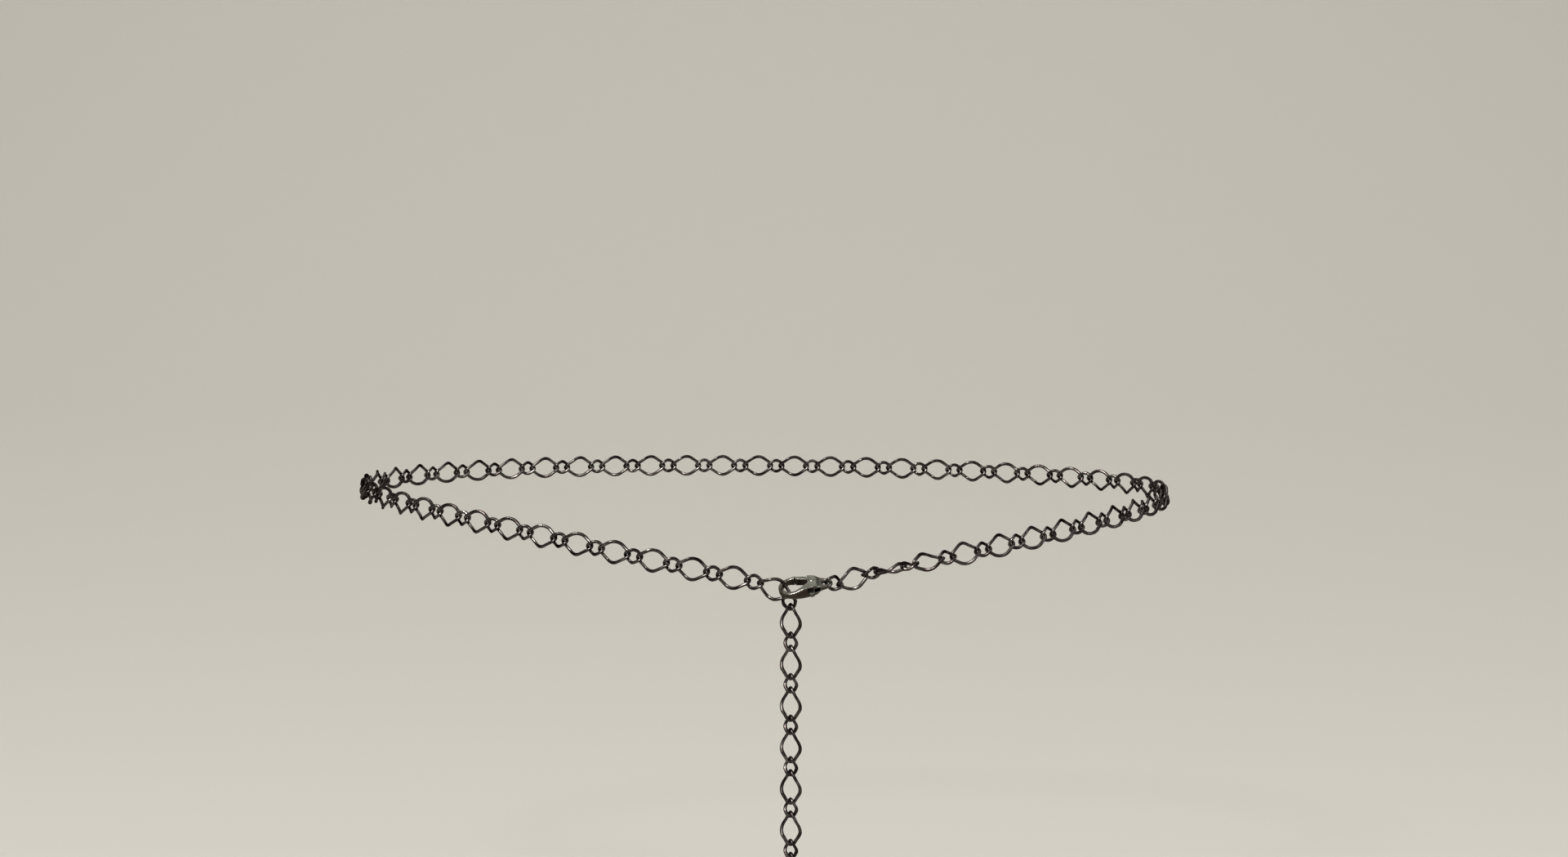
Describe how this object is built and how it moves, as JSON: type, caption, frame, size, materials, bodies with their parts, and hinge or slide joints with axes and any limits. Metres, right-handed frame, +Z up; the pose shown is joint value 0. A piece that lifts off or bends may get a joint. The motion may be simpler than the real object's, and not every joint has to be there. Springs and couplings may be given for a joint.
{
  "type": "waist chain",
  "caption": "Waist chain of twisted long and short curb links, worn round the waist, closed in front by a lobster clasp with the chain's spare end hanging from it.",
  "frame": {"origin": "middle of the waist that the chain goes round, at the height where it crosses the wearer's right side", "axes": "+X to the viewer's right, which is the wearer's left; +Z up; the front with the clasp faces -Y"},
  "size_m": [0.2242, 0.1621, 0.0967],
  "materials": {
    "chain": "polished dark gunmetal plate",
    "clasp": "satin grey plate with tarnish in its corners"
  },
  "bodies": {
    "chain": {"waist_chain_right": "chain", "waist_chain_left": "chain", "drop_chain": "chain", "clasp_ring": "chain", "clasp_body": "clasp"},
    "lever": {"clasp_lever": "clasp"}
  },
  "joints": [
    {"name": "lever_pivot", "type": "hinge", "parent": "chain", "child": "lever", "pos_m": [0.01248, -0.08808, -0.01599], "axis": [-0.1152, -0.4654, 0.8776], "range_deg": [0, 25], "stiffness_Nm_per_rad": 0.01, "springref_deg": -11.46}
  ]
}
